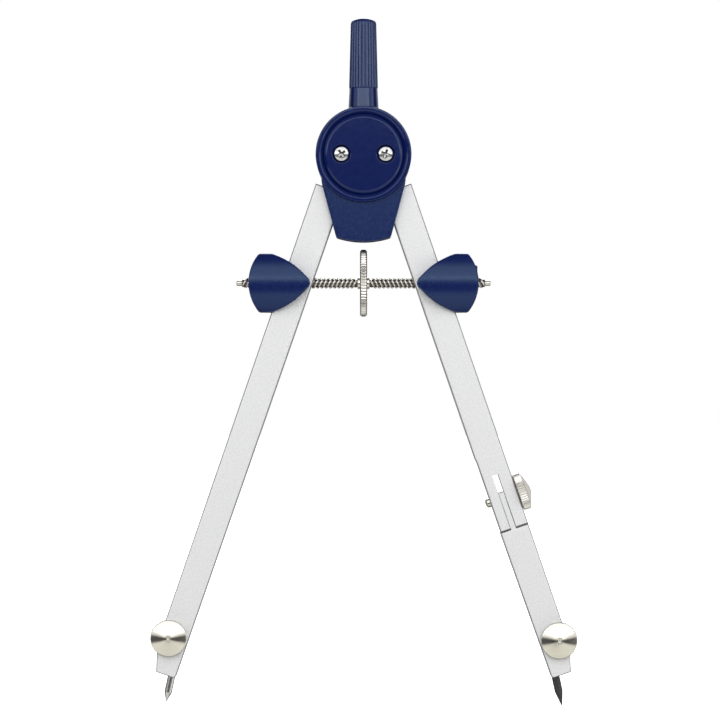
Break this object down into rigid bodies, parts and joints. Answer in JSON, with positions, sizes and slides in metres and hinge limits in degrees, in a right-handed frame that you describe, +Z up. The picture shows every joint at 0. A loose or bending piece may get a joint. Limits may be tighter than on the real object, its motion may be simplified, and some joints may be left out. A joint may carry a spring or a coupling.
{
  "type": "drawing compass",
  "caption": "Bow drawing compass with a fluted handle, round geared head, knurled centre wheel on a threaded spindle, and knurled clamps for needle and lead.",
  "frame": {"origin": "on the paper under the head, midway between the two legs, at the level of the lead's edge", "axes": "+Z up along the handle; the front with the two pivot screws faces -Y; the legs open along X, needle leg at -X and lead leg at +X"},
  "size_m": [0.1053, 0.0166, 0.1698],
  "materials": {
    "blue_plastic": "moulded dark blue plastic, satin to gloss",
    "silver_lacquer": "fine-speckled silver lacquer over die-cast metal",
    "nickel_plate": "warm nickel plate, turned and knurled",
    "screw_steel": "bright zinc-plated steel",
    "spring_steel": "thin rolled spring steel",
    "needle_steel": "ground hardened steel",
    "brass": "turned brass",
    "graphite": "fired graphite lead, sanded edge"
  },
  "bodies": {
    "head": {"handle_grip": "blue_plastic", "head_front_shell": "blue_plastic", "head_rear_shell": "blue_plastic", "head_cover_disc": "blue_plastic", "pivot_screws": "screw_steel", "pivot_sleeves": "brass", "friction_washers": "spring_steel", "pivot_nuts": "nickel_plate"},
    "needle_leg": {"left_leg": "silver_lacquer"},
    "lead_leg": {"right_leg": "silver_lacquer"},
    "lower_leg": {"lower_leg_insert": "silver_lacquer"},
    "fork_screw": {"fork_clamp_screw": "nickel_plate"},
    "needle_screw": {"needle_clamp_screw": "nickel_plate"},
    "lead_screw": {"lead_clamp_screw": "nickel_plate"},
    "needle": {"needle": "needle_steel"},
    "lead": {"lead": "graphite"},
    "spindle": {"threaded_spindle": "nickel_plate"},
    "wheel": {"center_wheel": "nickel_plate"},
    "left_nut": {"left_barrel_nut": "brass", "left_housing_front": "blue_plastic", "left_housing_rear": "blue_plastic"},
    "right_nut": {"right_barrel_nut": "brass", "right_housing_front": "blue_plastic", "right_housing_rear": "blue_plastic"}
  },
  "joints": [
    {"name": "needle_leg_pivot", "type": "hinge", "parent": "head", "child": "needle_leg", "pos_m": [-0.00545, 0, 0.13607], "axis": [0, 1, 0], "range_deg": [-19, 7]},
    {"name": "lead_leg_pivot", "type": "hinge", "parent": "head", "child": "lead_leg", "pos_m": [0.00545, 0, 0.13607], "axis": [0, 1, 0], "range_deg": [-7, 19]},
    {"name": "left_nut_swivel", "type": "hinge", "parent": "needle_leg", "child": "left_nut", "pos_m": [-0.01636, 0, 0.10439], "axis": [0, 1, 0], "range_deg": [-7, 19]},
    {"name": "right_nut_swivel", "type": "hinge", "parent": "lead_leg", "child": "right_nut", "pos_m": [0.01636, 0, 0.10439], "axis": [0, 1, 0], "range_deg": [-19, 7]},
    {"name": "spindle_travel", "type": "slide", "parent": "left_nut", "child": "spindle", "axis": [1, 0, 0], "range_m": [-0.01075, 0.00397]},
    {"name": "wheel_spin", "type": "hinge", "parent": "spindle", "child": "wheel", "pos_m": [0, 0, 0.10439], "axis": [1, 0, 0], "range_deg": [-1224, 452]},
    {"name": "lower_leg_slide", "type": "slide", "parent": "lead_leg", "child": "lower_leg", "axis": [0.3256, 0, -0.9455], "range_m": [0, 0.01]},
    {"name": "fork_screw_turn", "type": "hinge", "parent": "lead_leg", "child": "fork_screw", "pos_m": [0.03823, 0, 0.05254], "axis": [0.9455, 0, 0.3256], "range_deg": [0, 360]},
    {"name": "needle_screw_turn", "type": "hinge", "parent": "needle_leg", "child": "needle_screw", "pos_m": [-0.04796, 0, 0.01692], "axis": [0, -1, 0], "range_deg": [0, 360]},
    {"name": "lead_screw_turn", "type": "hinge", "parent": "lower_leg", "child": "lead_screw", "pos_m": [0.04815, 0, 0.01635], "axis": [0, -1, 0], "range_deg": [0, 360]},
    {"name": "needle_slide", "type": "slide", "parent": "needle_leg", "child": "needle", "axis": [-0.2079, 0, -0.9781], "range_m": [-0.003, 0.008]},
    {"name": "lead_slide", "type": "slide", "parent": "lower_leg", "child": "lead", "axis": [0.2079, 0, -0.9781], "range_m": [-0.003, 0.01]}
  ],
  "couplings": [
    {"joint": "lead_leg_pivot", "follows": "needle_leg_pivot", "ratio": -1},
    {"joint": "left_nut_swivel", "follows": "needle_leg_pivot", "ratio": -1},
    {"joint": "right_nut_swivel", "follows": "needle_leg_pivot", "ratio": 1},
    {"joint": "spindle_travel", "follows": "needle_leg_pivot", "m_per_rad": 0.0324},
    {"joint": "wheel_spin", "follows": "needle_leg_pivot", "ratio": 64.321}
  ]
}
